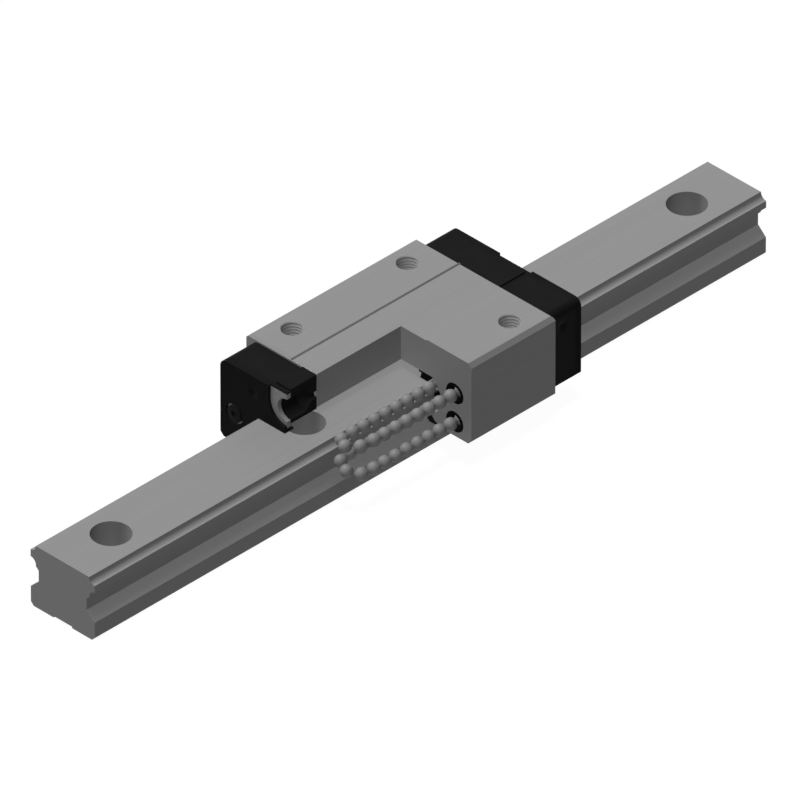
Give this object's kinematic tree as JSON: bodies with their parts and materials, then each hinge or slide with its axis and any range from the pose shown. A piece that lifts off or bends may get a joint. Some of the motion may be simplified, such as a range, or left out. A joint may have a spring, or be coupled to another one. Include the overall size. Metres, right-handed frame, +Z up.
{
  "type": "linear guide",
  "caption": "Profile rail linear guide with a recirculating ball carriage, one quarter of which is cut away to show the balls and their return paths.",
  "frame": {"origin": "centre of the rail's underside, with the carriage at the middle of the rail", "axes": "+X along the rail away from the carriage's open quarter, +Y towards the closed side of the carriage, +Z up from the rail's underside to the carriage's top"},
  "size_m": [0.21, 0.044, 0.028],
  "materials": {
    "rail_steel": "ground bearing steel",
    "block_steel": "ground bearing steel",
    "ball_steel": "polished bearing steel",
    "plate_steel": "stamped sheet steel",
    "screw_steel": "black oxide",
    "cap_plastic": "moulded, black",
    "guide_plastic": "moulded, black",
    "retainer_plastic": "moulded, black",
    "seal_rubber": "moulded nitrile rubber, black"
  },
  "bodies": {
    "rail": {"rail": "rail_steel"},
    "carriage": {"carriage_block": "block_steel", "end_cap_front": "cap_plastic", "end_cap_rear": "cap_plastic", "end_seal_front": "seal_rubber", "end_seal_rear": "seal_rubber", "seal_plate_front": "plate_steel", "seal_plate_rear": "plate_steel", "cap_screws_front": "screw_steel", "cap_screws_rear": "screw_steel", "return_guide_front_left": "guide_plastic", "return_guide_rear_left": "guide_plastic", "return_guide_rear_right": "guide_plastic", "return_tube_left_upper": "guide_plastic", "return_tube_left_lower": "guide_plastic", "return_tube_right_upper": "guide_plastic", "return_tube_right_lower": "guide_plastic", "upper_retainer_left": "retainer_plastic", "upper_retainer_right": "retainer_plastic", "middle_retainer_left": "retainer_plastic", "middle_retainer_right": "retainer_plastic", "bottom_seal_left": "seal_rubber", "bottom_seal_right": "seal_rubber", "balls_left_upper": "ball_steel", "balls_left_lower": "ball_steel", "balls_right_upper": "ball_steel", "balls_right_lower": "ball_steel"}
  },
  "joints": [
    {"name": "carriage_slide", "type": "slide", "parent": "rail", "child": "carriage", "axis": [1, 0, 0], "range_m": [-0.0688, 0.0688]}
  ]
}
